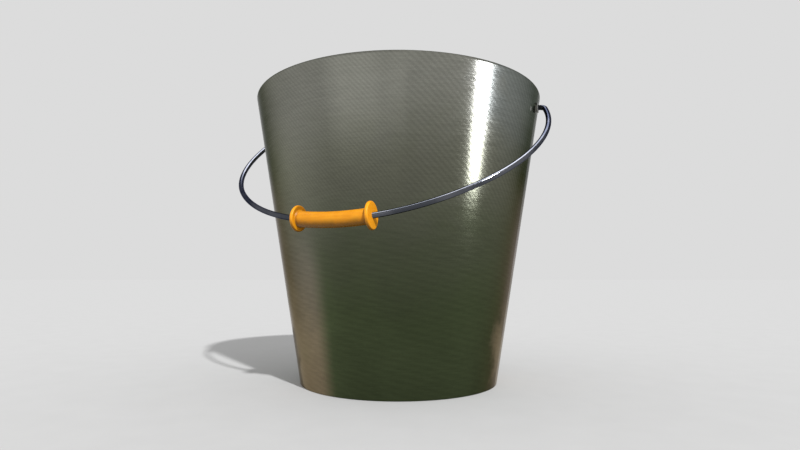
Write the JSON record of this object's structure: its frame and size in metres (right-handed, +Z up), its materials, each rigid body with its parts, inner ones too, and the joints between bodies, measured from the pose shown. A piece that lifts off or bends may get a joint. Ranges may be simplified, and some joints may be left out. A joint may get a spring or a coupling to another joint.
{
  "type": "milking pail",
  "caption": "Tapered sheet-metal pail with a rolled rim, a recessed bottom and a swinging wire bail that carries a moulded hand grip.",
  "frame": {"origin": "centre of the foot, at the height of the surface that the pail stands on", "axes": "+Z up; X along the bail's pivot axis; the lowered bail and its grip lie towards -Y; the folded seam is at +Y"},
  "size_m": [0.3282, 0.2995, 0.2905],
  "materials": {
    "pail_steel": "dull, finely scratched",
    "wire_steel": "drawn, dark",
    "fitting_steel": "turned",
    "grip_plastic": "satin moulded"
  },
  "bodies": {
    "pail": {"side_wall": "pail_steel", "rim_wire": "wire_steel", "bottom_disc": "pail_steel", "foot_ring": "pail_steel", "ear_plate_left": "pail_steel", "ear_plate_right": "pail_steel", "ear_rivets_left": "fitting_steel", "ear_rivets_right": "fitting_steel", "bail_bush_left": "fitting_steel", "bail_bush_right": "fitting_steel"},
    "bail": {"bail_wire": "wire_steel", "retaining_washer_left": "fitting_steel", "retaining_washer_right": "fitting_steel"},
    "grip": {"grip": "grip_plastic"}
  },
  "joints": [
    {"name": "bail_swing", "type": "hinge", "parent": "pail", "child": "bail", "pos_m": [0, 0, 0.2716], "axis": [-1, 0, 0], "range_deg": [0, 260]},
    {"name": "grip_slide", "type": "hinge", "parent": "bail", "child": "grip", "pos_m": [0, -0.00608, 0.2664], "axis": [0, 0.6494, -0.7604], "range_deg": [-34, 34]}
  ]
}
